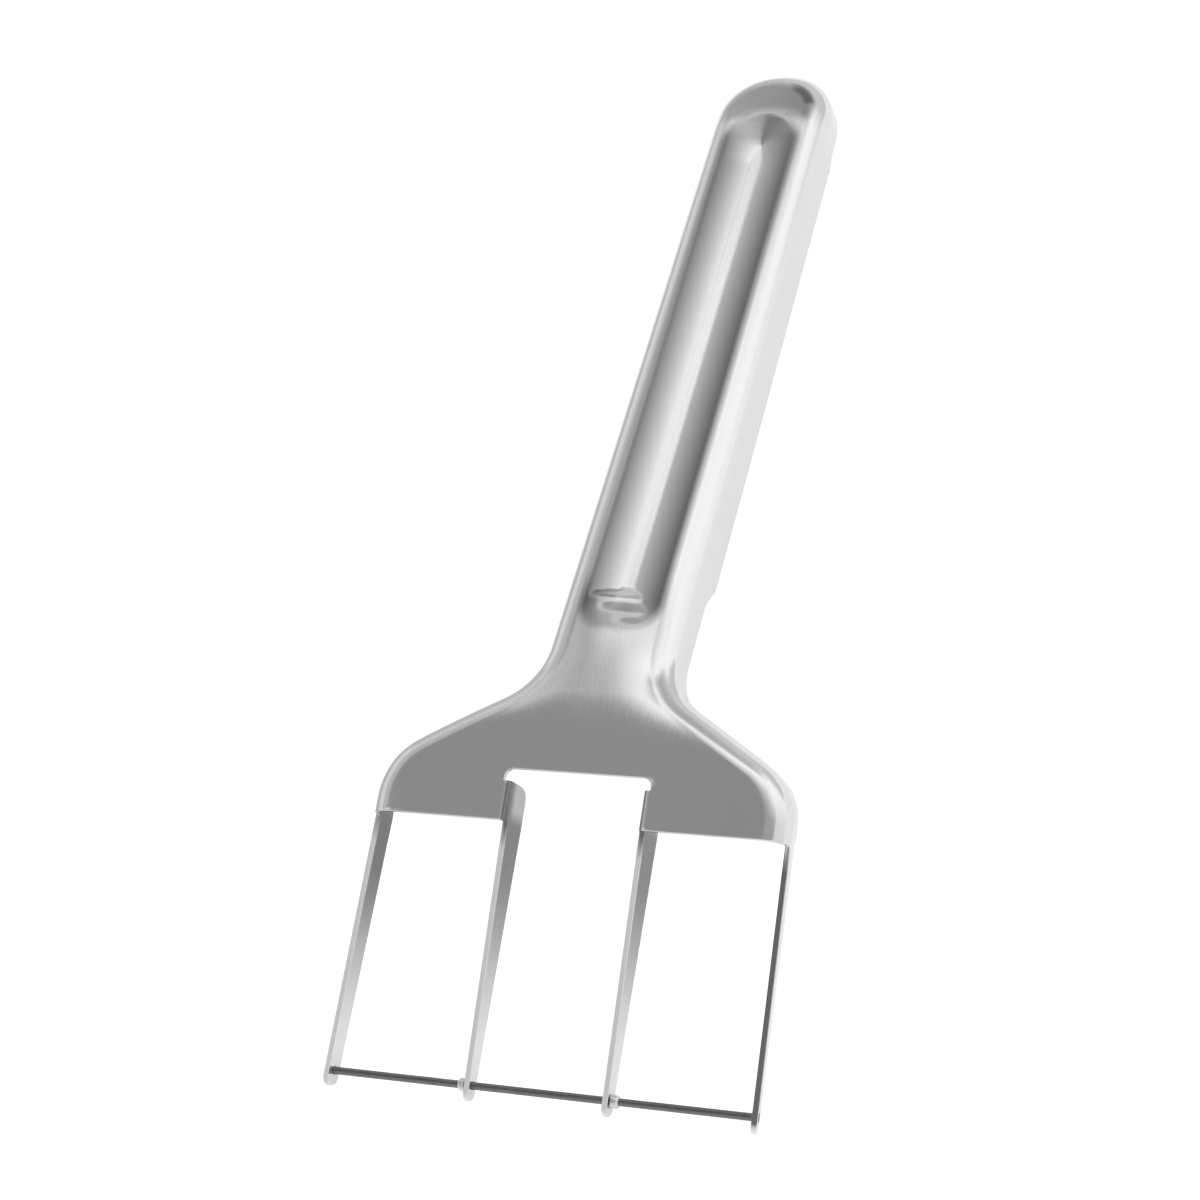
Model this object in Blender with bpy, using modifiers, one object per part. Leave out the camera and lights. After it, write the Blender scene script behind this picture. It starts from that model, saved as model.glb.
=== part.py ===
# Watermelon slicer: a one-piece pressed steel fork with a grooved grip and a cutting rod.
#
# The design plane is the flat top of the head plate. In it, x runs across the fork, s runs
# from the plate's front edge (s = 0) back along the grip, and h is the height above the
# sheet's top surface. The tines point to negative s. place() bends this plane down behind
# the plate, and an empty at the end lays the finished tool on its tine tips and its grip.

import math

import bmesh
import bpy
from mathutils import Matrix, Vector

mm = 0.001

# Sheet
sheet = 1.2 * mm
edge_radius = 5.0 * mm          # outer radius between the top and the side walls

# Tines
tine_pitch = 30.2 * mm          # between the middles of neighbouring blades
tine_length = 57.0 * mm         # plate front edge to the tips
tine_root_low = 9.1 * mm        # lower edge of the blades at the plate, below the top surface
tine_tip_low = 7.2 * mm         # lower edge at the tips
tine_tip_high = 3.6 * mm        # upper edge at the tips
inner_bend = 1.6 * mm           # outer radius where an inner tine folds down from the slot
outer_splay = 1.4 * mm          # how far the outer tips stand out
outer_lean = 0.8 * mm           # how far the outer blades' lower edges lean in

# Middle slot
slot_depth = 10.8 * mm
slot_corner = 1.8 * mm
tab_relief = 2.4 * mm           # slot end to the rear edge of the inner tines
tab_corner = 3.0 * mm

# Head and neck outline
shoulder_s = 12.1 * mm          # where the side line would meet the shoulder line
shoulder_radius = 17.0 * mm
neck_s = 32.7 * mm              # where the shoulder line would meet the grip's side line
neck_radius = 15.3 * mm
neck_half_width = 14.9 * mm
neck_wall = 8.6 * mm

# Grip
plate_end = 11.0 * mm           # end of the flat plate, where the bend begins
bend_radius = 60.0 * mm
bend_angle = math.radians(17.0)
grip_end = 198.3 * mm           # end of the tool, along the sheet
end_fullness = 0.9              # 1 rounds the end to half a circle, less makes it squarer
grip_end_half_width = 13.6 * mm
grip_wall = 11.1 * mm           # down to where the lips turn in
end_wall = 11.8 * mm            # round the drawn end, which has no lips
lip_start = 62.0 * mm
lip_end = 175.0 * mm
lip_run = 6.0 * mm              # over which the neck's wall grows to the grip's
lip_relief = 1.6 * mm           # over which the wall steps down behind the lips
lip_bend = 1.8 * mm             # outer radius of the turned-in lips
lip_width = 3.6 * mm            # flat part of a lip

# Groove pressed into the top of the grip
groove_start = 45.5 * mm
groove_end = 185.0 * mm
groove_land = 0.5 * mm          # between the groove and the rounded edges
groove_depth = 1.6 * mm
groove_wall = 7.5 * mm          # plan width of the sloping side walls
groove_front_wall = 9.5 * mm    # plan length of the slope at the neck
groove_front_corner = 4.5 * mm
groove_rear_corner = 7.5 * mm

# Cutting rod and what holds it
rod_diameter = 1.6 * mm
rod_inset = 3.2 * mm            # rod axis to the tine tips
fit_gap = 0.3 * mm
rod_cutter = 120.0 * mm         # length of what cuts the rod's holes
bead_diameter = 3.0 * mm
bead_length = 1.5 * mm
# Outline of a bead: share of the way from its bore to its rim, and share of its length
bead_outline = ((0.0, 0.0), (1.0, 0.0), (0.75, 0.4), (0.45, 0.8), (0.0, 1.0))

# Facets. The splits are shares of a length, from its first to its last line of facets
edge_steps = 7
bend_steps = 4
neck_steps = 8
end_steps = 12
rod_sides = 20
bead_sides = 16
blade_split = (0.0, 0.33, 0.6, 0.88, 1.0)
tab_split = (0.0, 0.5, 0.75, 1.0)
shoulder_split = (0.0, 0.25, 0.5, 0.75, 1.0)
groove_front_split = (0.0, 0.25, 0.5, 0.75, 1.0, 1.35)
groove_rear_split = (0.0, 0.2, 0.4, 0.55, 0.7, 0.85)
lip_run_split = (0.0, 0.35, 0.65, 1.0)
across_groove = (0.0, 0.2, 0.38, 0.5, 0.59, 0.68, 0.76, 0.84, 0.92, 1.0)
across_slot = (0.0, 0.25, 0.5, 0.75, 1.0)
across_wing = (0.3, 0.6, 0.9)   # beyond the slot, in slot half widths
corner_step = math.pi / 8
end_fan = 0.4                   # how far the rows of the end spread along the middle line
row_spacing = 0.4 * mm          # rows nearer to each other than this are left out
merge_distance = 0.01 * mm

# Sizes that follow
head_half_width = 1.5 * tine_pitch + sheet / 2
inner_face = tine_pitch / 2 - sheet / 2
slot_half_width = inner_face + inner_bend
tab_end = slot_depth - tab_relief
tip_radius = (tine_tip_low - tine_tip_high) / 2
rod_s = -(tine_length - rod_inset)
rod_h = -(tine_tip_low + tine_tip_high) / 2


def smooth(t):
    t = min(max(t, 0.0), 1.0)
    return t * t * (3 - 2 * t)


def mix(a, b, t):
    return a + (b - a) * t


# Crest line: where the flat top turns over into the rounded edge

shoulder_angle = math.atan2(head_half_width - neck_half_width, neck_s - shoulder_s)
taper = math.atan2(neck_half_width - grip_end_half_width, grip_end - neck_s)
shoulder_centre_s = shoulder_s - shoulder_radius * math.tan(shoulder_angle / 2)
shoulder_centre_x = head_half_width - shoulder_radius
neck_tangent = neck_radius * math.tan((shoulder_angle - taper) / 2)
neck_centre_x = neck_half_width - neck_tangent * math.sin(taper) + neck_radius * math.cos(taper)
neck_centre_s = neck_s + neck_tangent * math.cos(taper) + neck_radius * math.sin(taper)
end_radius = grip_end_half_width * math.cos(taper) / (1 - math.sin(taper))
end_centre_s = grip_end - end_radius

shoulder_crest = shoulder_radius - edge_radius
neck_crest = neck_radius + edge_radius
end_crest = end_radius - edge_radius
shoulder_line_start = shoulder_centre_s + shoulder_crest * math.sin(shoulder_angle)
shoulder_line_end = neck_centre_s - neck_crest * math.sin(shoulder_angle)
grip_line_start = neck_centre_s - neck_crest * math.sin(taper)
grip_line_end = end_centre_s + end_crest * math.sin(taper)


def crest_at(s):
    """Half width of the crest line at s, and the direction that its side faces."""
    if s <= shoulder_centre_s:
        return head_half_width - edge_radius, 0.0
    if s <= shoulder_line_start:
        facing = math.asin((s - shoulder_centre_s) / shoulder_crest)
        return shoulder_centre_x + shoulder_crest * math.cos(facing), facing
    if s <= shoulder_line_end:
        start_x = shoulder_centre_x + shoulder_crest * math.cos(shoulder_angle)
        return start_x - (s - shoulder_line_start) * math.tan(shoulder_angle), shoulder_angle
    if s <= grip_line_start:
        facing = math.asin((neck_centre_s - s) / neck_crest)
        return neck_centre_x - neck_crest * math.cos(facing), facing
    end_x = end_crest * math.cos(taper)
    return end_x + (grip_line_end - s) * math.tan(taper), taper


def wall_low(s):
    """Height of the side wall's lower edge."""
    if s <= neck_s:
        return -mix(tine_root_low, neck_wall, smooth(s / neck_s))
    if s <= lip_end:
        return -mix(neck_wall, grip_wall, smooth((s - lip_start + lip_run) / lip_run))
    return -mix(grip_wall, end_wall, smooth((s - lip_end) / lip_relief))


def groove_width_at(s):
    """Half width of the groove, which narrows with the grip."""
    return end_crest * math.cos(taper) + (grip_line_end - s) * math.tan(taper) - groove_land


def groove_at(x, s):
    """Height of the grip's top: a trough in a rounded rectangle with sloping walls."""
    middle = (groove_start + groove_end) / 2
    corner = groove_front_corner if s < middle else groove_rear_corner
    dx = abs(x) - groove_width_at(s) + corner
    ds = abs(s - middle) - (groove_end - groove_start) / 2 + corner
    outside = math.hypot(max(dx, 0), max(ds, 0)) + min(max(dx, ds), 0) - corner
    from_front = (s - groove_start) / (1.5 * groove_front_wall)
    wall = mix(groove_front_wall, groove_wall, smooth(from_front))
    return -groove_depth * smooth(-outside / wall)


def place(x, s, h):
    """A point of the design plane on the bent tool."""
    turn = min(max((s - plate_end) / bend_radius, 0), bend_angle)
    straight = max(s - plate_end - bend_radius * bend_angle, 0)
    y = min(s, plate_end) + bend_radius * math.sin(turn) + straight * math.cos(bend_angle)
    z = -bend_radius * (1 - math.cos(turn)) - straight * math.sin(bend_angle)
    return Vector((x, y + h * math.sin(turn), z + h * math.cos(turn)))


# Where the columns of the top surface run across the plate: up to the slot's corner, on its
# rounding, at its side, and over the wing beyond it

slot_corner_x = slot_half_width - slot_corner
slot_corner_s = slot_depth - slot_corner
plate_columns = [slot_corner_x * share for share in across_slot]
plate_columns.append(slot_corner_x + slot_corner * math.cos(3 * corner_step))
plate_columns.append(slot_half_width)
plate_columns += [slot_half_width * (1 + share) for share in across_wing]
slot_column = plate_columns.index(slot_half_width)


def top_row(s, inner_s, crest_x, crest_s):
    """Points of the top surface from the middle line, or the slot, out to the crest."""
    points = []
    to_grip = smooth((s - slot_depth) / (grip_line_start - slot_depth))
    plate_width = crest_at(min(s, slot_depth))[0]
    groove_width = groove_width_at(min(s, end_centre_s))
    grip_share = groove_width / (groove_width + groove_land)
    for plate_x, share in zip(plate_columns, across_groove):
        t = mix(plate_x / plate_width, share * grip_share, to_grip)
        along = mix(inner_s, crest_s, t)
        points.append((t * crest_x, along, groove_at(t * crest_x, along)))
    points.append((crest_x, crest_s, 0.0))

    def on_corner(step):
        return (slot_corner_x + slot_corner * math.cos(step * corner_step),
                slot_corner_s + slot_corner * math.sin(step * corner_step), 0.0)

    if s == slot_depth:
        points[slot_column - 1] = on_corner(3)
        points[slot_column] = on_corner(2)
    elif slot_corner_s < s < slot_depth:
        points[slot_column] = on_corner(1)
    return points if s >= slot_depth else points[slot_column:]


def side_rows(s, crest_x, crest_s, facing):
    """Points down the rounded edge and the side wall, and round the lip."""
    points = []
    out_x = math.cos(facing)
    out_s = math.sin(facing)
    for i in range(1, edge_steps + 1):
        angle = math.pi / 2 * i / edge_steps
        reach = edge_radius * math.sin(angle)
        points.append((crest_x + reach * out_x, crest_s + reach * out_s,
                       -edge_radius * (1 - math.cos(angle))))
    foot_x = crest_x + edge_radius * out_x
    foot_s = crest_s + edge_radius * out_s
    low = wall_low(s)
    lean = outer_lean * smooth(1 - s / slot_depth)
    upper = -edge_radius * (1 - math.cos(math.pi / 2 * (edge_steps - 1) / edge_steps))
    for share in blade_split[2:]:
        h = mix(upper, low, share)
        points.append((foot_x - lean * share, foot_s, h))
    if lip_start <= s <= lip_end:
        for i in range(1, bend_steps + 1):
            angle = math.pi / 2 * i / bend_steps
            points.append((foot_x - lip_bend * (1 - math.cos(angle)), foot_s,
                           low - lip_bend * math.sin(angle)))
        points.append((foot_x - lip_bend - lip_width, foot_s, low - lip_bend))
    return points


def tab_points(s):
    """Points from the slot's edge round the bend and down an inner tine."""
    points = []
    for i in range(1, bend_steps + 1):
        angle = math.pi / 2 * i / bend_steps
        points.append((slot_half_width - inner_bend * math.sin(angle), s,
                       -inner_bend * (1 - math.cos(angle))))
    for share in blade_split[1:]:
        h = mix(-inner_bend, -tine_root_low, share)
        over = max(tab_corner - tine_root_low - h, 0.0)
        rear = tab_end - tab_corner + math.sqrt(tab_corner ** 2 - over ** 2)
        points.append((inner_face, min(s, rear), h))
    return points


def blade_rows(root, tip_x, tip_low_x):
    """Rows of a tine from its root, given as points down the blade, to the rounded tip."""
    rows = []
    straight = tine_length - tip_radius
    for t in (0.5, 1.0):
        row = []
        for share, (x, s, h) in zip(blade_split, root):
            high = mix(root[0][2], -tine_tip_high, t)
            low = mix(root[-1][2], -tine_tip_low, t)
            row.append((mix(x, mix(tip_x, tip_low_x, share), t), -straight * t, mix(high, low, share)))
        rows.append(row)
    tip = []
    for share in blade_split:
        angle = math.acos(1 - 2 * share)
        tip.append((mix(tip_x, tip_low_x, share), -straight - tip_radius * math.sin(angle),
                    rod_h + tip_radius * math.cos(angle)))
    rows.append(tip)
    return rows


def stations():
    """Rows of the top: distance s, where the row meets the middle, its crest and its facing."""
    fixed = [tab_end * share for share in tab_split]
    fixed += [slot_corner_s, slot_corner_s + slot_corner * math.sin(corner_step), slot_depth]
    fixed += [mix(lip_start - lip_run, lip_start, share) for share in lip_run_split]
    fixed += [(lip_start + lip_end) / 2, lip_end, lip_end + lip_relief, end_centre_s]
    free = [mix(shoulder_line_start, shoulder_line_end, share) for share in shoulder_split]
    free += [neck_centre_s - neck_crest * math.sin(mix(shoulder_angle, taper, i / neck_steps))
             for i in range(1, neck_steps + 1)]
    free += [groove_start + groove_front_wall * share for share in groove_front_split]
    free += [mix(groove_end - groove_rear_corner, groove_end, share) for share in groove_rear_split]
    kept = list(fixed)
    for s in free:
        if s < end_centre_s and min(abs(s - other) for other in kept) > row_spacing:
            kept.append(s)
    rows = []
    for s in sorted(kept):
        crest_x, facing = crest_at(s)
        rows.append((s, s, crest_x, s, facing))
    for i in range(1, end_steps + 1):
        facing = mix(taper, math.pi / 2, i / end_steps)
        crest_x = end_crest * max(math.cos(facing), 0.0) ** end_fullness
        crest_s = end_centre_s + end_crest * math.sin(facing) ** end_fullness
        middle = end_centre_s + end_crest * end_fan * i / end_steps
        rows.append((crest_s, middle, crest_x, crest_s, facing))
    return rows


def half_sheet():
    """The right half of the pressed sheet's outer surface."""
    bm = bmesh.new()

    def make(points):
        return [bm.verts.new(place(*point)) for point in points]

    def join(nearer, farther):
        """Quads between two rows, where nearer has the smaller s and x grows along both."""
        for i in range(min(len(nearer), len(farther)) - 1):
            bm.faces.new((nearer[i], nearer[i + 1], farther[i + 1], farther[i]))

    def add_blade(root, tip_x, tip_low_x, outward):
        nearer = root
        for points in blade_rows([tuple(v.co) for v in root], tip_x, tip_low_x):
            row = make(points)
            join(*((row, nearer) if outward else (nearer, row)))
            nearer = row

    rows = []
    tabs = []
    for s, middle, crest_x, crest_s, facing in stations():
        row = make(top_row(s, middle, crest_x, crest_s) + side_rows(s, crest_x, crest_s, facing))
        rows.append(row)
        if s == slot_depth:
            join(rows[-2], row[slot_column:])
        elif len(rows) > 1:
            join(rows[-2], row)
        if s <= tab_end:
            tabs.append([row[0]] + make(tab_points(s)))
    for nearer, farther in zip(tabs, tabs[1:]):
        join(farther, nearer)

    outer_tip = head_half_width + outer_splay
    add_blade(rows[0][-len(blade_split):], outer_tip, outer_tip - outer_lean, True)
    add_blade(tabs[0][-len(blade_split):], inner_face, inner_face, False)
    bmesh.ops.remove_doubles(bm, verts=bm.verts[:], dist=merge_distance)
    return bm


def steel(name, colour, roughness):
    material = bpy.data.materials.new(name)
    material.use_nodes = True
    shader = material.node_tree.nodes["Principled BSDF"]
    shader.inputs["Base Color"].default_value = colour
    shader.inputs["Metallic"].default_value = 1.0
    shader.inputs["Roughness"].default_value = roughness
    return material


def link(obj, collection):
    for old in obj.users_collection:
        old.objects.unlink(obj)
    collection.objects.link(obj)


def cylinder_along_x(name, radius, length, centre, sides, collection):
    bpy.ops.mesh.primitive_cylinder_add(vertices=sides, radius=radius, depth=length)
    obj = bpy.context.active_object
    obj.name = name
    obj.data.transform(Matrix.Rotation(math.pi / 2, 4, "Y"))
    obj.location = centre
    link(obj, collection)
    return obj


def make_body(collection, cutters):
    bm = half_sheet()
    mesh = bpy.data.meshes.new("pressed_body")
    bm.to_mesh(mesh)
    bm.free()
    body = bpy.data.objects.new("pressed_body", mesh)
    collection.objects.link(body)
    body.data.materials.append(steel("stainless_sheet", (0.62, 0.62, 0.62, 1), 0.3))

    mirror = body.modifiers.new("other_half", "MIRROR")
    mirror.use_axis = (True, False, False)
    mirror.merge_threshold = merge_distance
    solidify = body.modifiers.new("sheet_thickness", "SOLIDIFY")
    solidify.thickness = sheet
    solidify.offset = -1
    solidify.use_even_offset = True

    hole = cylinder_along_x("rod_hole", rod_diameter / 2 + fit_gap, rod_cutter,
                            place(0, rod_s, rod_h), rod_sides, cutters)
    hole.hide_render = True
    hole.display_type = "WIRE"
    cut = body.modifiers.new("rod_holes", "BOOLEAN")
    cut.operation = "DIFFERENCE"
    cut.solver = "EXACT"
    cut.object = hole
    return body, hole


def make_rod(collection):
    along = -rod_s / tine_length
    share = (-rod_h - tine_tip_high) / (tine_tip_low - tine_tip_high)
    reach = head_half_width + outer_splay * along - outer_lean * share
    rod = cylinder_along_x("cutting_rod", rod_diameter / 2, 2 * reach, place(0, rod_s, rod_h),
                           rod_sides, collection)
    rod.data.materials.append(steel("rod_steel", (0.28, 0.28, 0.29, 1), 0.35))
    rod.data.shade_smooth()
    rod.data.set_sharp_from_angle(angle=math.radians(40))
    return rod


def make_bead(name, turn, collection):
    """A weld bead round the rod on the outward face of an inner tine."""
    bore = rod_diameter / 2 + fit_gap
    rim = bead_diameter / 2
    start = tine_pitch / 2 + sheet / 2 + fit_gap
    bm = bmesh.new()
    points = [bm.verts.new((start + bead_length * along, 0, mix(bore, rim, out)))
              for out, along in bead_outline]
    edges = [bm.edges.new((points[i - 1], points[i])) for i in range(len(points))]
    bmesh.ops.spin(bm, geom=points + edges, cent=(0, 0, 0), axis=(1, 0, 0), angle=2 * math.pi,
                   steps=bead_sides, use_merge=True)
    bmesh.ops.remove_doubles(bm, verts=bm.verts[:], dist=merge_distance / 10)
    bmesh.ops.recalc_face_normals(bm, faces=bm.faces[:])
    mesh = bpy.data.meshes.new(name)
    bm.to_mesh(mesh)
    bm.free()
    bead = bpy.data.objects.new(name, mesh)
    bead.location = place(0, rod_s, rod_h)
    bead.rotation_euler = (0, 0, turn)
    collection.objects.link(bead)
    bead.data.materials.append(steel(name + "_steel", (0.7, 0.7, 0.69, 1), 0.25))
    return bead


def resting_tilt():
    """Turn about x that lays the tine tips and the lowest point of the grip on one level."""
    tip = place(0, -tine_length + tip_radius, rod_h)
    tilts = []
    for s, h in ((lip_end, -grip_wall - lip_bend), (grip_end, -end_wall)):
        reach = place(0, s, h) - tip
        distance = math.hypot(reach.y, reach.z)
        tilts.append(-math.atan2(reach.z, reach.y) - math.asin(tip_radius / distance))
    return max(tilts)


def lay_down(parts, body):
    """Parent the parts to an empty that sets the tool on z = 0, centred on the origin."""
    tilt = Matrix.Rotation(resting_tilt(), 4, "X")
    bpy.context.view_layer.update()
    shape = body.evaluated_get(bpy.context.evaluated_depsgraph_get())
    corners = [tilt @ v.co for v in shape.data.vertices]
    low = [min(c[i] for c in corners) for i in range(3)]
    high = [max(c[i] for c in corners) for i in range(3)]
    lying = bpy.data.objects.new("lying_frame", None)
    lying.rotation_euler = (resting_tilt(), 0, 0)
    lying.location = (0, -(low[1] + high[1]) / 2, -low[2])
    body.users_collection[0].objects.link(lying)
    for part in parts:
        part.parent = lying


for old in list(bpy.data.objects):
    bpy.data.objects.remove(old, do_unlink=True)

slicer = bpy.data.collections.new("watermelon_slicer")
bpy.context.scene.collection.children.link(slicer)
cutters = bpy.data.collections.new("cutters")
bpy.context.scene.collection.children.link(cutters)

body, rod_hole = make_body(slicer, cutters)
rod = make_rod(slicer)
bead_right = make_bead("rod_weld_right", 0, slicer)
bead_left = make_bead("rod_weld_left", math.pi, slicer)
lay_down((body, rod, bead_right, bead_left, rod_hole), body)
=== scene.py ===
# Watermelon slicer: a pressed stainless steel fork with a grooved grip, and a cutting rod
# welded through its tines. The fork is drawn as a flat sheet in mm, where x runs across it,
# s runs from the plate's front edge back along the grip and h is the height above the
# sheet's top. Geometry nodes press the groove and bend the sheet, then it is laid down.

import math
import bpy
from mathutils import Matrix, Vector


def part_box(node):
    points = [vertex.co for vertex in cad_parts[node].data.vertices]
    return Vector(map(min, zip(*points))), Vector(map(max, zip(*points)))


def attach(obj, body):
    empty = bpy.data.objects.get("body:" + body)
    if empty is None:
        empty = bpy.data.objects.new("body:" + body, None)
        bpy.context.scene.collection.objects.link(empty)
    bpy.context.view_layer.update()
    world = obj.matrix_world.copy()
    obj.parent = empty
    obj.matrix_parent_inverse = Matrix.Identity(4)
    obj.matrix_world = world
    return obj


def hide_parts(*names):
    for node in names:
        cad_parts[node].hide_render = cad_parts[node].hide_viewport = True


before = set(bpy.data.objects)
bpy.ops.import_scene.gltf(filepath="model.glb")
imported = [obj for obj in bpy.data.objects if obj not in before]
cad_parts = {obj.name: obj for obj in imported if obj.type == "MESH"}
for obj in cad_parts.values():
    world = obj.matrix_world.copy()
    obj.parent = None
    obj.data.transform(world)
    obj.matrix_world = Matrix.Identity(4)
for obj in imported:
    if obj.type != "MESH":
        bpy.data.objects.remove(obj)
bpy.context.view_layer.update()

from types import SimpleNamespace

import bmesh
import bpy
from mathutils import Matrix, Vector

mm = 0.001


# Camera and small helpers

view = {
    "place": (269.756, -332.609, 597.120),      # mm
    "turn": (31.32442, 18.42691, 13.94670),     # degrees
    "lens": 102.0,
}

camera = bpy.data.objects.new("camera", bpy.data.cameras.new("camera"))
camera.data.lens = view["lens"]
camera.data.sensor_width = 36.0
camera.data.clip_start = 0.01
camera.data.clip_end = 20.0
camera.location = [value * mm for value in view["place"]]
camera.rotation_euler = [math.radians(value) for value in view["turn"]]
bpy.context.scene.collection.objects.link(camera)
bpy.context.scene.camera = camera


def mix(a, b, t):
    return a + (b - a) * t


def smooth(t):
    t = min(max(t, 0.0), 1.0)
    return t * t * (3 - 2 * t)


def spread(start, end, step):
    # evenly spaced values from start to end, no further apart than step
    count = max(1, math.ceil((end - start) / step - 1e-6))
    return [mix(start, end, i / count) for i in range(count + 1)]


class Wire:
    # a socket of a node tree; sums and products of wires add Math nodes to that tree
    def __init__(self, tree, socket=None):
        self.tree = tree
        self.socket = socket

    def node(self, kind, settings=None, sockets=None):
        # adds a node; settings are its properties and sockets the values or wires of its inputs
        made = self.tree.nodes.new(kind)
        for name, value in (settings or {}).items():
            setattr(made, name, value)
        for key, value in (sockets or {}).items():
            if isinstance(value, Wire):
                self.tree.links.new(value.socket, made.inputs[key])
            else:
                made.inputs[key].default_value = value
        return Wire(self.tree, made.outputs[0])

    def other(self, out):
        # another output of the same node
        return Wire(self.tree, self.socket.node.outputs[out])

    def math(self, operation, *values):
        return self.node("ShaderNodeMath", {"operation": operation}, dict(enumerate(values)))

    def __add__(self, value):
        return self.math("ADD", self, value)

    def __radd__(self, value):
        return self.math("ADD", value, self)

    def __sub__(self, value):
        return self.math("SUBTRACT", self, value)

    def __rsub__(self, value):
        return self.math("SUBTRACT", value, self)

    def __mul__(self, value):
        return self.math("MULTIPLY", self, value)

    def __rmul__(self, value):
        return self.math("MULTIPLY", value, self)

    def __truediv__(self, value):
        return self.math("DIVIDE", self, value)

    def __neg__(self):
        return self.math("MULTIPLY", self, -1.0)

    def abs(self):
        return self.math("ABSOLUTE", self)

    def sin(self):
        return self.math("SINE", self)

    def cos(self):
        return self.math("COSINE", self)

    def root(self):
        return self.math("SQRT", self)

    def most(self, value):
        return self.math("MAXIMUM", self, value)

    def least(self, value):
        return self.math("MINIMUM", self, value)

    def above(self, value):
        return self.math("GREATER_THAN", self, value)

    def ramp(self, start, end, low=0.0, high=1.0, kind="SMOOTHSTEP"):
        return self.node("ShaderNodeMapRange", {"interpolation_type": kind},
                         {"Value": self, "From Min": start, "From Max": end,
                          "To Min": low, "To Max": high})


def newTree(name, inputs):
    # a geometry node tree with named inputs: the tree, a wire to start from and the inputs
    tree = bpy.data.node_groups.new(name, "GeometryNodeTree")
    tree.interface.new_socket(name="Geometry", in_out="INPUT", socket_type="NodeSocketGeometry")
    for label, kind in inputs:
        tree.interface.new_socket(name=label, in_out="INPUT", socket_type="NodeSocket" + kind)
    tree.interface.new_socket(name="Geometry", in_out="OUTPUT", socket_type="NodeSocketGeometry")
    entry = tree.nodes.new("NodeGroupInput")
    start = Wire(tree)
    given = {socket.name: Wire(tree, socket) for socket in entry.outputs if socket.name}
    return tree, start, given


def endTree(wire, material):
    # the last nodes of every tree: a plain mesh with its material
    wire = wire.node("GeometryNodeRealizeInstances", None, {"Geometry": wire})
    wire = wire.node("GeometryNodeSetMaterial", None, {"Geometry": wire, "Material": material})
    leave = wire.tree.nodes.new("NodeGroupOutput")
    wire.tree.links.new(wire.socket, leave.inputs[0])


def runTree(obj, tree, values):
    # adds the tree to obj and sets its inputs by their identifiers
    modifier = obj.modifiers.new(tree.name, "NODES")
    modifier.node_group = tree
    for item in tree.interface.items_tree:
        if item.in_out == "INPUT" and item.name in values:
            modifier[item.identifier] = values[item.name]


def newObject(name, mesh=None):
    obj = bpy.data.objects.new(name, mesh or bpy.data.meshes.new(name))
    bpy.context.scene.collection.objects.link(obj)
    return obj


def bake(obj, matrix):
    # turns an object with live modifiers into a plain mesh laid down in the row frame
    depsgraph = bpy.context.evaluated_depsgraph_get()
    mesh = bpy.data.meshes.new_from_object(
        obj.evaluated_get(depsgraph), preserve_all_data_layers=True, depsgraph=depsgraph)
    obj.modifiers.clear()
    obj.data = mesh
    mesh.name = obj.name
    mesh.transform(matrix)


# Finishes, with their painted shade and painted highlights

satin = {
    "polished": 0.78,       # reflectance of the polished steel
    "groove": 0.21,         # and of the painted shade on the groove's flanks and on the drawn end
    "shadePower": 0.82,     # below 1 makes that painted shade reach further
    "blade": 0.235,         # and of the painted shade on the blades' faces near the plate
    "outerFace": 44.9,      # except where they are further out than this at the plate, in mm
    "splay": 1.4, "rootY": -70.2, "tipY": -125.8,   # how far and where the outer blades stand out
    "rim": 0.92,            # and of the blades' sheared rims, which are rougher and painted lighter as a painted highlight
    "rimRoughness": 0.6,
    "rightRimShaded": 0.25,       # but painted dark as painted shade on the right outer blade's rims
    "rightFrom": 0.9,       # which lie further right than this share of outerFace
    "roughness": 0.11,
    "shadeRoughness": 0.05,  # more roughness under that painted shade
    "smudge": 0.03,         # how much the roughness varies
    "cloudScale": 45.0, "cloudTone": (0.97, 0.06),      # lowest share of the tone, and span
    "grainScale": (6500.0, 260.0, 6500.0), "grainTone": (0.98, 0.04),
    "grain": 0.03,          # height of the fine grain, in mm
    "grainStrength": 0.35,
}
plain = {
    "rod": (0.2, 0.3), "weld": (0.75, 0.28),        # reflectance and roughness
    "cloudScale": 900.0, "cloudTone": (0.8, 0.4), "smudge": 0.1,
}


def steel(name):
    # a bare metal material: its shader and a wire to build on
    material = bpy.data.materials.new(name)
    material.use_nodes = True
    shader = material.node_tree.nodes["Principled BSDF"]
    shader.inputs["Metallic"].default_value = 1.0
    return material, shader, Wire(material.node_tree)


def feed(shader, socket, wire):
    # links a wire to one of the shader's inputs
    wire.tree.links.new(wire.socket, shader.inputs[socket])


def greyOf(wire):
    return wire.node("ShaderNodeCombineColor", {"mode": "RGB"}, {0: wire, 1: wire, 2: wire})


def noise(place, scale, detail=3.0):
    return place.node("ShaderNodeTexNoise", None,
                      {"Vector": place, "Scale": scale, "Detail": detail})


def varied(wire, tone):
    least, span = tone
    return least + wire * span


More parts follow.
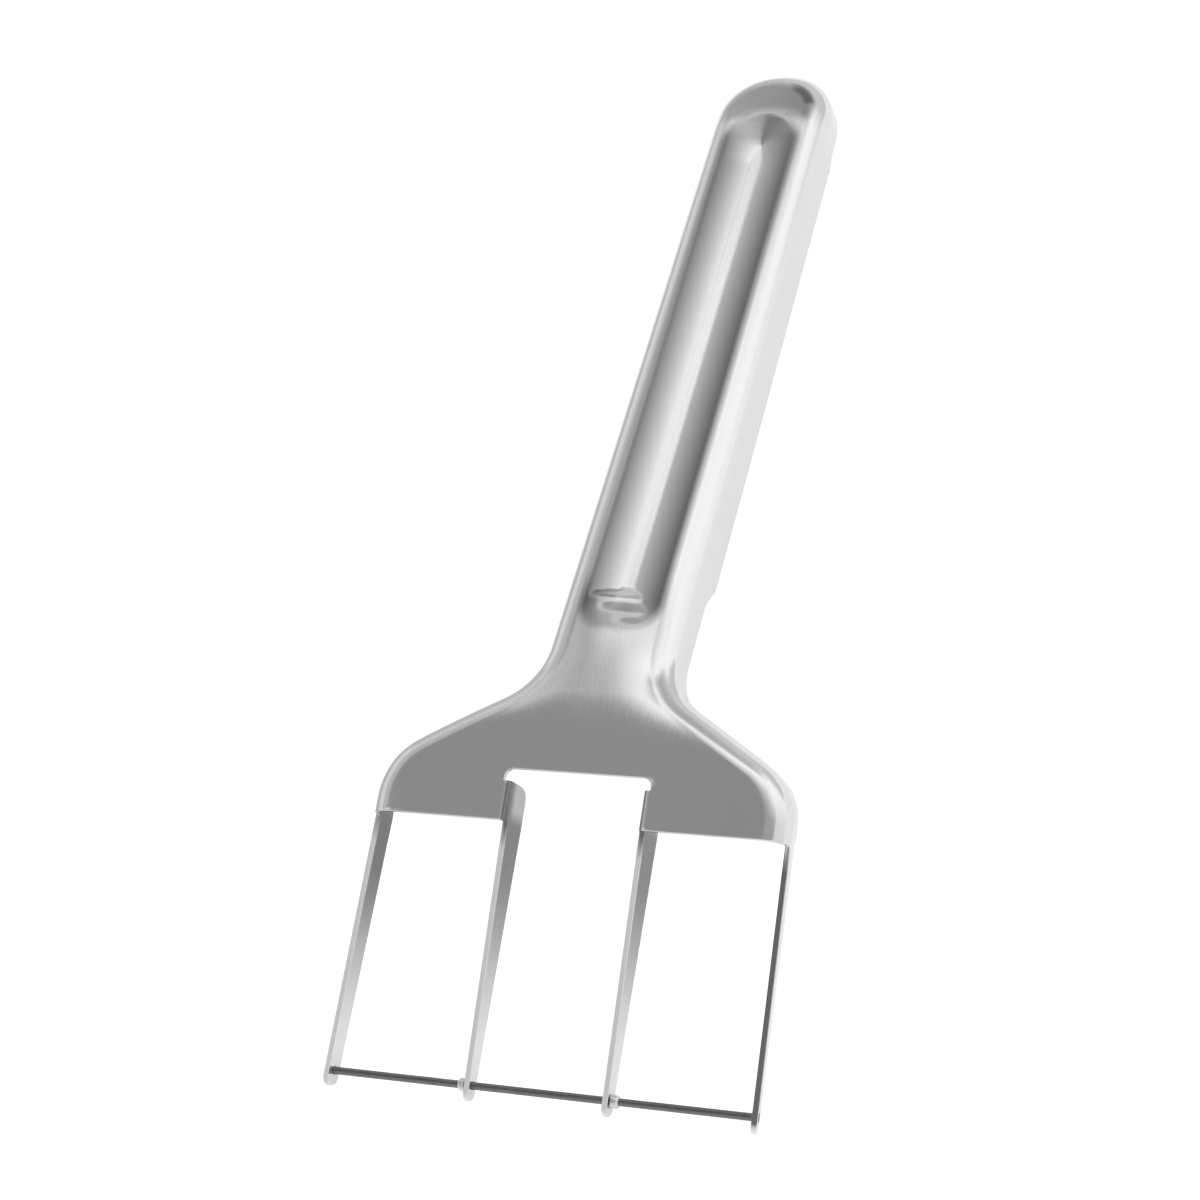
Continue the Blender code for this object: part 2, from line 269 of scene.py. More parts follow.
def makeSheetSteel():
    material, shader, wire = steel("satinSheet")
    place = wire.node("ShaderNodeTexCoord").other("Object")
    shadeMask = wire.node("ShaderNodeAttribute", {"attribute_name": "grooveAndEndShade"}).other("Fac")
    cloud = noise(place, satin["cloudScale"])
    stretched = wire.node("ShaderNodeMapping", None,
                          {"Vector": place, "Scale": satin["grainScale"]})
    grain = noise(stretched, 1.0, 1.0)
    # painted shade on the groove's flanks and the drawn end: it darkens the tone and also adds
    # roughness
    paintedShade = shadeMask.math("POWER", shadeMask, satin["shadePower"])
    tone = satin["polished"] - paintedShade * (satin["polished"] - satin["groove"])
    # painted shade on the blades near the plate, left off the outer blades' outer faces
    bladeShadeMask = wire.node("ShaderNodeAttribute", {"attribute_name": "paintedBladeShade"}).other("Fac")
    x = place.node("ShaderNodeSeparateXYZ", None, {0: place})
    splay = x.other(1).ramp(satin["rootY"] * mm, satin["tipY"] * mm,
                            0.0, satin["splay"] * mm, "LINEAR")
    outerFace = (x.abs() - splay).above(satin["outerFace"] * mm)
    tone = tone - bladeShadeMask * (1.0 - outerFace) * (satin["polished"] - satin["blade"])
    # the rims are rougher, and painted lighter as a painted highlight, except the right outer
    # blade's, which get painted shade
    rim = wire.node("ShaderNodeAttribute", {"attribute_name": "cutRim"}).other("Fac")
    rightRimShaded = x.above(satin["outerFace"] * satin["rightFrom"] * mm)
    rimPaintedTone = satin["rim"] - rightRimShaded * (satin["rim"] - satin["rightRimShaded"])
    tone = tone * (1.0 - rim) + rim * rimPaintedTone
    tone = tone * varied(cloud, satin["cloudTone"]) * varied(grain, satin["grainTone"])
    feed(shader, "Base Color", greyOf(tone))
    rough = satin["roughness"] + (cloud - 0.5) * (2 * satin["smudge"])
    rough = rough + paintedShade * satin["shadeRoughness"]
    rough = rough + rim * (satin["rimRoughness"] - satin["roughness"])
    feed(shader, "Roughness", rough)
    bump = wire.node("ShaderNodeBump", None, {
        "Strength": satin["grainStrength"], "Distance": satin["grain"] * mm, "Height": grain})
    feed(shader, "Normal", bump)
    return material


def makePlainSteel(name, colour, roughness):
    material, shader, wire = steel(name)
    place = wire.node("ShaderNodeTexCoord").other("Object")
    cloud = noise(place, plain["cloudScale"])
    feed(shader, "Base Color", greyOf(varied(cloud, plain["cloudTone"]) * colour))
    feed(shader, "Roughness", roughness + (cloud - 0.5) * (2 * plain["smudge"]))
    return material


sheetSteel = makeSheetSteel()
rodSteel = makePlainSteel("rodSteel", *plain["rod"])
weldSteel = makePlainSteel("weldSteel", *plain["weld"])
print("finishes made")


# Pressed fork, in mm

forkSizes = {
    "sheet": 1.2, "edgeWidth": 5.5, "edgeDrop": 5.0,
    "tinePitch": 30.2, "tineLength": 56.945,
    "tineRootLow": 9.1, "tineTipLow": 7.2, "tineTipHigh": 3.6,
    "innerBend": 1.6, "outerSplay": 1.4, "outerLean": 0.8,
    "slotDepth": 10.8, "slotCorner": 1.8, "tabRelief": 2.4, "tabCorner": 3.0,
    "shoulderS": 12.1, "shoulderRadius": 17.0, "neckS": 32.7, "neckRadius": 15.3,
    "neckHalfWidth": 14.9, "neckWall": 8.6,
    "gripEnd": 198.75, "endFullness": 0.9, "gripEndHalfWidth": 13.6, "gripWall": 11.1,
    # the end's wall is a little deeper at the very end, and leans in and out on its way round
    "endWall": 11.8, "endDeep": 0.3, "endLean": 0.7, "endLeanRun": 8.0, "endLeanTurns": 3,
    "lipStart": 62.0, "lipEnd": 175.0, "lipRun": 6.0, "lipRelief": 1.6,
    "lipBend": 1.8, "lipWidth": 3.6, "lipRound": 2.5, "lipCut": 0.4,
    "rimRound": 0.22, "rimAngle": 50, "sharpAngle": 35,     # angles in degrees
    "rodDiameter": 1.6, "rodInset": 3.199, "holeRoom": 0.12, "cutterLength": 120.0,
}
pressSizes = {
    "plateEnd": 11.0, "bendRadius": 60.0, "bendAngle": 17.0,
    "grooveStart": 45.2, "grooveEnd": 185.0, "grooveDepth": 1.6, "grooveInset": 1.25,
    "grooveWall": 6.6, "rearWall": 9.0, "frontCorner": 5.0, "rearCorner": 9.2,
    "rearFade": (1.6, 0.4),     # where the rear wall takes over, in its lengths from the end
    "edgeRound": 0.8, "floorRound": 0.08, "frontBlend": 0.08,
    "flankFade": 1.6, "endFlank": 0.45, "endFlankFrom": 0.3,
    # the front wall goes down in steps: from and to along it, share, and from and to across it
    "frontSteps": ((0.2, 2.2, 0.2, -2.0, 4.0), (3.4, 6.0, 0.32, -6.0, -1.5)),
    "frontFoot": (7.1, 10.2),
    "dent": 0.12, "dentX": 12.8, "dentS": 35.0, "dentRadius": 4.4,
    "crown": 0.8, "crownStart": 13.0, "crownTop": 37.0, "crownEnd": 58.0,
    "rise": 0.35, "riseStart": 20.0, "riseTop": 42.0, "riseEnd": 100.0,
    "domeSlope": 0.19, "domeCentre": 178.5, "domeReach": 7.3, "domeRound": 2.5,
    "domeAcross": 0.4,      # less than 1 stretches the dome across the grip
    # painted shade on the drawn end, darkest as a painted dark reflection in a crescent on its
    # right, which is given by its distance from the cap's centre and by how far to the right it
    # lies
    "capDull": 0.5, "capCentre": 184.7, "capStart": 181.0, "capFull": 184.5, "capFade": (9.0, 11.5),
    "crescent": (7.0, 9.4, 10.2, 11.4), "crescentSide": (0.05, 0.6, 0.92, 0.99),
}
bladeShadeSizes = {
    # painted shade on the blades' faces near the plate, on the side walls just behind it and along
    # the tabs' fold
    "dullStart": 8.0, "dullEnd": 50.0, "wallDull": 0.6,
    "foldDull": 1.4, "foldFade": 2.6, "tabDull": 0.45, "tabFade": 3.0,
}
facets = {
    "edge": 20, "bend": 6, "lip": 8, "wall": 10, "corner": 8, "end": 32, "tine": 14, "hole": 48,
    "rim": 3,
    "slotStep": 1.2, "plateStep": 1.6, "tabStep": 0.9, "lipRunStep": 0.6, "lipStep": 0.5,
    "reliefStep": 0.4, "shoulderStep": 1.0, "fineStep": 0.75, "gripStep": 1.7, "tineStep": 0.1,
    "leastStep": 0.4,       # free rows nearer than this to another row are left out
    "grooveFine": (12.0, 14.0),     # from the groove's ends, with rows at the fine step
    "rootEdge": 3,          # points of the rounded edge that an outer blade's root starts with
    "gripSpread": 0.85,     # below 1 puts the grip's columns nearer to its edges
    "endFan": 0.4,          # how far the end's rows spread along the middle line
    "merge": 0.005, "mirrorMerge": 0.01,
}
fork = SimpleNamespace(**forkSizes)
press = SimpleNamespace(**pressSizes)
blade = SimpleNamespace(**bladeShadeSizes)
cuts = SimpleNamespace(**facets)

headHalfWidth = 1.5 * fork.tinePitch + fork.sheet / 2
innerFace = fork.tinePitch / 2 - fork.sheet / 2
slotHalfWidth = innerFace + fork.innerBend
slotCornerX = slotHalfWidth - fork.slotCorner
slotCornerS = fork.slotDepth - fork.slotCorner
tabEnd = fork.slotDepth - fork.tabRelief
tipRadius = (fork.tineTipLow - fork.tineTipHigh) / 2
rodS = fork.rodInset - fork.tineLength
rodH = -(fork.tineTipLow + fork.tineTipHigh) / 2

# Crest line, where the flat top turns over into the rounded edge
shoulderAngle = math.atan2(headHalfWidth - fork.neckHalfWidth, fork.neckS - fork.shoulderS)
taper = math.atan2(fork.neckHalfWidth - fork.gripEndHalfWidth, fork.gripEnd - fork.neckS)
shoulderCentreS = fork.shoulderS - fork.shoulderRadius * math.tan(shoulderAngle / 2)
shoulderCentreX = headHalfWidth - fork.shoulderRadius
neckTangent = fork.neckRadius * math.tan((shoulderAngle - taper) / 2)
neckCentreX = fork.neckHalfWidth - neckTangent * math.sin(taper) + fork.neckRadius * math.cos(taper)
neckCentreS = fork.neckS + neckTangent * math.cos(taper) + fork.neckRadius * math.sin(taper)
endRadius = fork.gripEndHalfWidth * math.cos(taper) / (1 - math.sin(taper))
endCentreS = fork.gripEnd - endRadius
shoulderCrest = fork.shoulderRadius - fork.edgeWidth
neckCrest = fork.neckRadius + fork.edgeWidth
endCrest = endRadius - fork.edgeWidth
shoulderLineStart = shoulderCentreS + shoulderCrest * math.sin(shoulderAngle)
shoulderLineEnd = neckCentreS - neckCrest * math.sin(shoulderAngle)
gripLineStart = neckCentreS - neckCrest * math.sin(taper)
gripLineEnd = endCentreS + endCrest * math.sin(taper)


def crestAt(s):
    # half width of the crest line, and the direction that its side faces
    if s <= shoulderCentreS:
        return headHalfWidth - fork.edgeWidth, 0.0
    if s <= shoulderLineStart:
        facing = math.asin((s - shoulderCentreS) / shoulderCrest)
        return shoulderCentreX + shoulderCrest * math.cos(facing), facing
    if s <= shoulderLineEnd:
        startX = shoulderCentreX + shoulderCrest * math.cos(shoulderAngle)
        return startX - (s - shoulderLineStart) * math.tan(shoulderAngle), shoulderAngle
    if s <= gripLineStart:
        facing = math.asin((neckCentreS - s) / neckCrest)
        return neckCentreX - neckCrest * math.cos(facing), facing
    return endCrest * math.cos(taper) + (gripLineEnd - s) * math.tan(taper), taper


gripWidthAtZero = endCrest * math.cos(taper) + gripLineEnd * math.tan(taper)


def wallLow(s):
    # height of the side wall's lower edge, without the lip
    if s <= fork.neckS:
        return -mix(fork.tineRootLow, fork.neckWall, smooth(s / fork.neckS))
    if s <= fork.lipEnd:
        deeper = smooth((s - fork.lipStart + fork.lipRun) / fork.lipRun)
        return -mix(fork.neckWall, fork.gripWall, deeper)
    bulge = fork.endDeep * (1 - smooth((s - endCentreS) / endCrest))
    return -mix(fork.gripWall, fork.endWall + bulge, smooth((s - fork.lipEnd) / fork.lipRelief))


plateColumns = spread(0.0, slotCornerX, cuts.slotStep)
for step in range(cuts.corner - 1, cuts.corner // 2, -1):
    plateColumns.append(slotCornerX + fork.slotCorner * math.cos(math.pi / 2 * step / cuts.corner))
slotColumn = len(plateColumns)
plateColumns += spread(slotHalfWidth, crestAt(fork.slotDepth)[0] - cuts.plateStep,
                       cuts.plateStep)
gripColumns = [(i / len(plateColumns)) ** cuts.gripSpread for i in range(len(plateColumns))]


def topRow(s, innerS, crestX, crestS):
    # the flat top from the middle line, or the slot, out to the crest
    toGrip = smooth((s - fork.slotDepth) / (gripLineStart - fork.slotDepth))
    plateWidth = crestAt(min(s, fork.slotDepth))[0]
    points = []
    for plateX, share in zip(plateColumns, gripColumns):
        t = mix(plateX / plateWidth, share, toGrip)
        points.append((t * crestX, mix(innerS, crestS, t), 0.0))
    points.append((crestX, crestS, 0.0))

    def onCorner(step):
        angle = math.pi / 2 * step / cuts.corner
        return (slotCornerX + fork.slotCorner * math.cos(angle),
                slotCornerS + fork.slotCorner * math.sin(angle), 0.0)

    half = cuts.corner // 2
    if s == fork.slotDepth:
        for step in range(half, cuts.corner):
            points[slotColumn + half - step] = onCorner(step)
    elif s > slotCornerS and s < fork.slotDepth:
        points[slotColumn] = onCorner(cornerRows.index(s) + 1)
    return points if s >= fork.slotDepth else points[slotColumn:]


def sideRow(s, crestX, crestS, facing):
    # down the rounded edge and the side wall, and round the lip
    outX, outS = math.cos(facing), math.sin(facing)
    points = []
    for i in range(1, cuts.edge + 1):
        angle = math.pi / 2 * i / cuts.edge
        reach = fork.edgeWidth * math.sin(angle)
        points.append((crestX + reach * outX, crestS + reach * outS,
                       -fork.edgeDrop * (1 - math.cos(angle))))
    footX, footS = crestX + fork.edgeWidth * outX, crestS + fork.edgeWidth * outS
    low = wallLow(s)
    lean = fork.outerLean * smooth(1 - s / fork.slotDepth)
    lean += (fork.endLean * smooth((s - fork.lipEnd) / fork.endLeanRun)
             * math.cos(fork.endLeanTurns * facing))
    for i in range(1, cuts.wall + 1):
        share = i / cuts.wall
        points.append((footX - lean * share * outX, footS - lean * share * outS,
                       mix(-fork.edgeDrop, low, share)))
    if fork.lipStart <= s <= fork.lipEnd:
        # the lip's ends are rounded, so less of its profile is there near them
        arc = math.pi / 2 * fork.lipBend
        fromEnd = min(s - fork.lipStart, fork.lipEnd - s) / fork.lipRound
        corner = math.sqrt(1 - max(1 - fromEnd, 0.0) ** 2)
        reach = (arc + fork.lipWidth) * mix(fork.lipCut, 1.0, corner)
        steps = [arc * i / cuts.lip for i in range(1, cuts.lip + 1)]
        for along in steps + [arc + fork.lipWidth / 2, arc + fork.lipWidth]:
            along *= reach / (arc + fork.lipWidth)
            angle = min(along / fork.lipBend, math.pi / 2)
            flat = max(along - arc, 0.0)
            points.append((footX - fork.lipBend * (1 - math.cos(angle)) - flat, footS,
                           low - fork.lipBend * math.sin(angle)))
    return points


def tabRow(s):
    # from the slot's edge round the bend and down an inner tine
    points = []
    for i in range(1, cuts.bend + 1):
        angle = math.pi / 2 * i / cuts.bend
        points.append((slotHalfWidth - fork.innerBend * math.sin(angle), s,
                       -fork.innerBend * (1 - math.cos(angle))))
    for i in range(1, cuts.tine + 1):
        h = mix(-fork.innerBend, -fork.tineRootLow, i / cuts.tine)
        over = max(fork.tabCorner - fork.tineRootLow - h, 0.0)
        rear = tabEnd - fork.tabCorner + math.sqrt(fork.tabCorner ** 2 - over ** 2)
        points.append((innerFace, min(s, rear), h))
    return points


def bladeRows(root, tipX, tipLowX):
    # a tine from the points of its root to its rounded tip
    count = len(root) - 1
    shares = [i / count for i in range(count + 1)]
    straight = fork.tineLength - tipRadius
    rows = []
    for t in spread(0.0, 1.0, cuts.tineStep)[1:]:
        row = []
        for share, (x, s, h) in zip(shares, root):
            high = mix(root[0][2], -fork.tineTipHigh, t)
            low = mix(root[-1][2], -fork.tineTipLow, t)
            row.append((mix(x, mix(tipX, tipLowX, share), t), -straight * t, mix(high, low, share)))
        rows.append(row)
    rows.append([(mix(tipX, tipLowX, share),
                  -straight - tipRadius * math.sin(math.acos(1 - 2 * share)),
                  rodH + tipRadius * (1 - 2 * share)) for share in shares])
    return rows


cornerRows = [slotCornerS + fork.slotCorner * math.sin(math.pi / 2 * step / cuts.corner)
              for step in range(1, cuts.corner // 2)]


def stations():
    # rows of the top: distance s, where the row meets the middle, its crest and its facing
    kept = spread(0.0, tabEnd, cuts.tabStep) + [slotCornerS, fork.slotDepth] + cornerRows
    kept += spread(fork.lipStart - fork.lipRun, fork.lipStart, cuts.lipRunStep)
    for near in spread(0.0, fork.lipRound, cuts.lipStep)[1:]:
        kept += [fork.lipStart + near, fork.lipEnd - near]
    kept += spread(fork.lipEnd, fork.lipEnd + fork.lipRelief, cuts.reliefStep) + [endCentreS]
    fineFront, fineRear = cuts.grooveFine
    free = spread(fork.slotDepth, shoulderLineEnd, cuts.shoulderStep)
    free += spread(shoulderLineEnd, gripLineStart, cuts.fineStep)
    free += spread(gripLineStart, press.grooveStart + fineFront, cuts.fineStep)
    free += spread(press.grooveStart, press.grooveEnd, cuts.gripStep)
    free += spread(press.grooveEnd - fineRear, endCentreS, cuts.fineStep)
    for s in free:
        if s < endCentreS and min(abs(s - other) for other in kept) > cuts.leastStep:
            kept.append(s)
    rows = []
    for s in sorted(kept):
        crestX, facing = crestAt(s)
        rows.append((s, s, crestX, s, facing))
    for i in range(1, cuts.end + 1):
        facing = mix(taper, math.pi / 2, i / cuts.end)
        crestX = endCrest * max(math.cos(facing), 0.0) ** fork.endFullness
        crestS = endCentreS + endCrest * math.sin(facing) ** fork.endFullness
        middle = endCentreS + endCrest * cuts.endFan * i / cuts.end
        rows.append((crestS, middle, crestX, crestS, facing))
    return rows


def flatHalf():
    # the right half of the sheet's outer surface, before the groove and the bend
    bm = bmesh.new()
    across = bm.verts.layers.float.new("across")        # from the middle, 0, to the crest, 1
    paintedShade = bm.verts.layers.float.new("paintedBladeShade")
    cut = bm.verts.layers.float.new("cutRim")

    def make(points):
        return [bm.verts.new(Vector(point) * mm) for point in points]

    def join(nearer, farther):
        for i in range(min(len(nearer), len(farther)) - 1):
            bm.faces.new((nearer[i], nearer[i + 1], farther[i + 1], farther[i]))

    def addBlade(root, tipX, tipLowX, outward):
        nearer = root
        for points in bladeRows([tuple(v.co / mm) for v in root], tipX, tipLowX):
            row = make(points)
            row[0][cut] = row[-1][cut] = 1.0
            # painted shade on the blade, darkest near the plate and gone towards the tip
            for vertex, (x, s, h) in zip(row, points):
                vertex[paintedShade] = smooth((s + blade.dullEnd) / (blade.dullEnd - blade.dullStart))
            join(*((row, nearer) if outward else (nearer, row)))
            nearer = row

    rows, tabs = [], []
    for s, middle, crestX, crestS, facing in stations():
        row = make(topRow(s, middle, crestX, crestS) + sideRow(s, crestX, crestS, facing))
        for vertex in row:
            vertex[across] = min(vertex.co.x / max(crestX * mm, 1e-6), 1.0)
            # painted shade on the lower side wall just behind the plate
            if vertex.co.z < -fork.edgeDrop * blade.wallDull * mm:
                vertex[paintedShade] = smooth(1 - s / blade.dullStart)
        if s == fork.slotDepth:
            join(rows[-1], row[slotColumn:])
        elif rows:
            join(rows[-1], row)
        rows.append(row)
        if s <= tabEnd:
            tabs.append([row[0]] + make(tabRow(s)))
            # painted shade along the tab's fold, lighter towards its rear
            tabRearShade = mix(1.0, blade.tabDull, smooth(s / blade.tabFade))
            for vertex in tabs[-1][2:-1]:
                fromFold = smooth((-vertex.co.z / mm - blade.foldDull) / blade.foldFade)
                vertex[paintedShade] = mix(1.0, tabRearShade, fromFold)
    for nearer, farther in zip(tabs, tabs[1:]):
        join(farther, nearer)
    outerTip = headHalfWidth + fork.outerSplay
    addBlade(rows[0][-(cuts.wall + cuts.rootEdge):], outerTip, outerTip - fork.outerLean, True)
    addBlade(tabs[0][-(cuts.tine + 1):], innerFace, innerFace, False)
    bmesh.ops.remove_doubles(bm, verts=bm.verts[:], dist=cuts.merge * mm)
    mesh = bpy.data.meshes.new("pressedFork")
    bm.to_mesh(mesh)
    bm.free()
    return mesh


def pressTree(labels):
    # presses the groove into the grip's top, then bends the sheet down behind the plate
    tree, start, given = newTree(
        "pressAndBend", [(label, "Float") for label in labels] + [("Material", "Material")])
    place = start.node("GeometryNodeInputPosition")
    x = start.node("ShaderNodeSeparateXYZ", None, {0: place})
    s, h = x.other(1), x.other(2)
    x = x.other(0)

    def hump(name):
        return (s.ramp(given[name + " Start"], given[name + " Top"])
                * s.ramp(given[name + " Top"], given[name + " End"], 1.0, 0.0) * given[name])

    def rounded(run, radius):
        # a straight slope that starts gently
        return run.least(radius) * run.least(radius) / (radius * 2.0) + (run - radius).most(0.0)

    # the groove: outside is the distance to its outline, below zero within it
    begin, end = given["Groove Start"], given["Groove End"]
    middle = (begin + end) * 0.5
    rear = s.above(middle)
    corner = given["Front Corner"] * (1.0 - rear) + given["Rear Corner"] * rear
    dx = x.abs() - given["Half Width"] + corner
    ds = (s - middle).abs() - (end - begin) * 0.5 + corner
    overX, overS = dx.most(0.0), ds.most(0.0)
    outside = (overX * overX + overS * overS).root() + dx.most(ds).least(0.0) - corner
    fadeFrom, fadeTo = press.rearFade
    atRear = s.ramp(end - given["Rear Wall"] * fadeFrom, end - given["Rear Wall"] * fadeTo)
    wall = given["Groove Wall"] * (1.0 - atRear) + given["Rear Wall"] * atRear
    inside = rounded((-outside).most(0.0), given["Edge Round"])
    front, left = s.above(middle), 1.0
    for early, level, share, across0, across1 in press.frontSteps:
        share = x.ramp(across0 * mm, across1 * mm) * share
        front = front + (s - begin).ramp(early * mm, level * mm) * share
        left = left - share
    early, level = press.frontFoot
    front = front + (s - begin).ramp(early * mm, level * mm) * left
    blend = given["Floor Round"]
    down = (inside / wall).least(blend + 1.0)
    down = down.math("SMOOTH_MIN", down, front * (blend + 1.0), press.frontBlend)
    easing = (down - 1.0 + blend).most(0.0)
    sink = (down - easing * easing / (blend * 4.0)).most(0.0) * given["Groove Depth"]

    # painted shade: on the groove's flanks, then on the drawn end, with a crescent of painted dark
    # reflection
    ends = s.ramp(begin, begin + wall, given["End Flank"], 1.0)
    ends = ends * s.ramp(end - wall, end - wall * press.endFlankFrom, 1.0, given["End Flank"])
    shadeMask = (1.0 - inside / wall).most(0.0)
    shadeMask = shadeMask * (1.0 - outside / given["Flank Fade"]).least(1.0).most(0.0) * ends
    beyond = (s - press.capCentre * mm).most(0.0)
    radius = (x * x + beyond * beyond).root()
    side = x / radius.most(mm)
    cap = s.ramp(press.capStart * mm, press.capFull * mm) * press.capDull
    fadeFrom, fadeTo = press.capFade
    shadeMask = shadeMask.most(cap * radius.ramp(fadeFrom * mm, fadeTo * mm, 1.0, 0.0))
    # a crescent of painted dark reflection on the end's right
    crescent = 1.0
    for value, limits, unit in ((radius, press.crescent, mm), (side, press.crescentSide, 1.0)):
        inner, full, fading, outer = [limit * unit for limit in limits]
        crescent = value.ramp(inner, full) * value.ramp(fading, outer, 1.0, 0.0) * crescent
    shadeMask = shadeMask.most(crescent)

    # the neck is crowned and rises a little, and the end falls away; both fade down the edge
    across = start.node("GeometryNodeInputNamedAttribute", {"data_type": "FLOAT"},
                        {"Name": "across"})
    centre, soft = given["Dome Centre"], given["Dome Round"]
    back = (s - centre).most(0.0)
    reach = (back * back + x * x * press.domeAcross).root()
    dome = rounded((reach - given["Dome Reach"]).most(0.0), soft)
    dome = dome * s.ramp(centre - soft, centre + soft * 2.0)
    sink = sink + hump("Crown") * across * across * across
    sink = sink + dome * given["Dome Slope"] - hump("Rise")
    byX = (x.abs() - given["Dent X"]) / given["Dent Radius"]
    byS = (s - given["Dent S"]) / given["Dent Radius"]
    dent = (1.0 - byX * byX - byS * byS).most(0.0)
    sink = sink + dent * dent * given["Dent"]
    fade = (h / given["Edge Drop"] + 1.0).most(0.0)
    h = h - sink * fade * fade

    # the bend behind the plate
    bendRadius, bendAngle = given["Bend Radius"], given["Bend Angle"]
    past = s - given["Plate End"]
    turn = (past / bendRadius).most(0.0).least(bendAngle)
    straight = (past - bendRadius * bendAngle).most(0.0)
    y = s.least(given["Plate End"]) + bendRadius * turn.sin() + straight * bendAngle.cos()
    z = bendRadius * (turn.cos() - 1.0) - straight * bendAngle.sin()
    bent = start.node("ShaderNodeCombineXYZ", None,
                      {0: x, 1: y + h * turn.sin(), 2: z + h * turn.cos()})
    marked = start.node("GeometryNodeStoreNamedAttribute",
                        {"data_type": "FLOAT", "domain": "POINT"},
                        {"Geometry": given["Geometry"], "Name": "grooveAndEndShade", "Value": shadeMask})
    moved = start.node("GeometryNodeSetPosition", None, {"Geometry": marked, "Position": bent})
    endTree(moved, given["Material"])
    return tree


def onTool(x, s, h):
    # where the bend takes a point of the flat sheet
    angle = math.radians(press.bendAngle)
    turn = min(max((s - press.plateEnd) / press.bendRadius, 0), angle)
    straight = max(s - press.plateEnd - press.bendRadius * angle, 0)
    y = min(s, press.plateEnd) + press.bendRadius * math.sin(turn) + straight * math.cos(angle)
    z = -press.bendRadius * (1 - math.cos(turn)) - straight * math.sin(angle)
    return Vector((x, y + h * math.sin(turn), z + h * math.cos(turn))) * mm


def layDown():
    # lays the tool on its tine tips and on its lips or its end, with its rod where the frame's is
    tip = onTool(0, -fork.tineLength + tipRadius, rodH)
    tilts = []
    for s, h in ((fork.lipEnd, -fork.gripWall - fork.lipBend), (fork.gripEnd, -fork.endWall)):
        reach = onTool(0, s, h) - tip
        tilts.append(-math.atan2(reach.z, reach.y)
                     - math.asin(tipRadius * mm / math.hypot(reach.y, reach.z)))
    tilt = Matrix.Rotation(max(tilts), 4, "X")
    low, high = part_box("cutting_rod")
    shift = (low + high) / 2 - tilt @ onTool(0, rodS, rodH)
    return Matrix.Translation(shift) @ tilt


lying = layDown()
pressedFork = newObject("pressedFork", flatHalf())
mirror = pressedFork.modifiers.new("otherHalf", "MIRROR")
mirror.use_axis = (True, False, False)
mirror.merge_threshold = cuts.mirrorMerge * mm
pressValues = {
    "Groove Start": press.grooveStart * mm, "Groove End": press.grooveEnd * mm,
    "Groove Depth": press.grooveDepth * mm,
    "Half Width": (gripWidthAtZero - press.grooveInset) * mm,
    "Groove Wall": press.grooveWall * mm, "Rear Wall": press.rearWall * mm,
    "Front Corner": press.frontCorner * mm, "Rear Corner": press.rearCorner * mm,
    "Edge Round": press.edgeRound * mm, "Floor Round": press.floorRound,
    "Flank Fade": press.flankFade * mm, "End Flank": press.endFlank,
    "Edge Drop": fork.edgeDrop * mm, "Dent": press.dent * mm, "Dent X": press.dentX * mm,
    "Dent S": press.dentS * mm, "Dent Radius": press.dentRadius * mm,
    "Crown": press.crown * mm, "Crown Start": press.crownStart * mm,
    "Crown Top": press.crownTop * mm, "Crown End": press.crownEnd * mm,
    "Rise": press.rise * mm, "Rise Start": press.riseStart * mm,
    "Rise Top": press.riseTop * mm, "Rise End": press.riseEnd * mm,
    "Dome Slope": press.domeSlope, "Dome Centre": press.domeCentre * mm,
    "Dome Reach": press.domeReach * mm, "Dome Round": press.domeRound * mm,
    "Plate End": press.plateEnd * mm, "Bend Radius": press.bendRadius * mm,
    "Bend Angle": math.radians(press.bendAngle),
}
runTree(pressedFork, pressTree(pressValues), {**pressValues, "Material": sheetSteel})
shell = pressedFork.modifiers.new("sheetThickness", "SOLIDIFY")
shell.thickness = fork.sheet * mm
shell.offset = -1
shell.use_even_offset = True
rim = pressedFork.modifiers.new("roundedRim", "BEVEL")
rim.width = fork.rimRound * mm
rim.segments = cuts.rim
rim.limit_method = "ANGLE"
rim.angle_limit = math.radians(fork.rimAngle)
rim.use_clamp_overlap = False

bpy.ops.mesh.primitive_cylinder_add(
    vertices=cuts.hole, radius=(fork.rodDiameter / 2 + fork.holeRoom) * mm,
    depth=fork.cutterLength * mm)
holeCutter = bpy.context.active_object
holeCutter.data.transform(Matrix.Rotation(math.pi / 2, 4, "Y"))
holeCutter.data.transform(Matrix.Translation(onTool(0, rodS, rodH)))
holes = pressedFork.modifiers.new("rodHoles", "BOOLEAN")
holes.operation = "DIFFERENCE"
holes.solver = "EXACT"
holes.object = holeCutter
bake(pressedFork, lying)
bpy.data.objects.remove(holeCutter, do_unlink=True)
pressedFork.data.shade_smooth()
pressedFork.data.set_sharp_from_angle(angle=math.radians(fork.sharpAngle))
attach(pressedFork, "root")
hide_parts("pressed_body")
print("pressed fork made:", len(pressedFork.data.polygons), "faces")


# Cutting rod and its two weld beads, in mm

rodSizes = {
    "points": 260, "ring": 28, "sharpAngle": 50,
    "endRound": 0.35, "endShare": 0.5,      # share of the section that the rounded ends lose
    "uneven": 0.05, "noiseScale": 350.0,
}
beadSizes = {
    "points": 14, "ring": 28, "sharpAngle": 50,
    "narrow": 0.62,         # share of the radius that is left at the outer end
    "uneven": 0.45, "noiseScale": 900.0, "seeds": (3.0, 8.0),
}


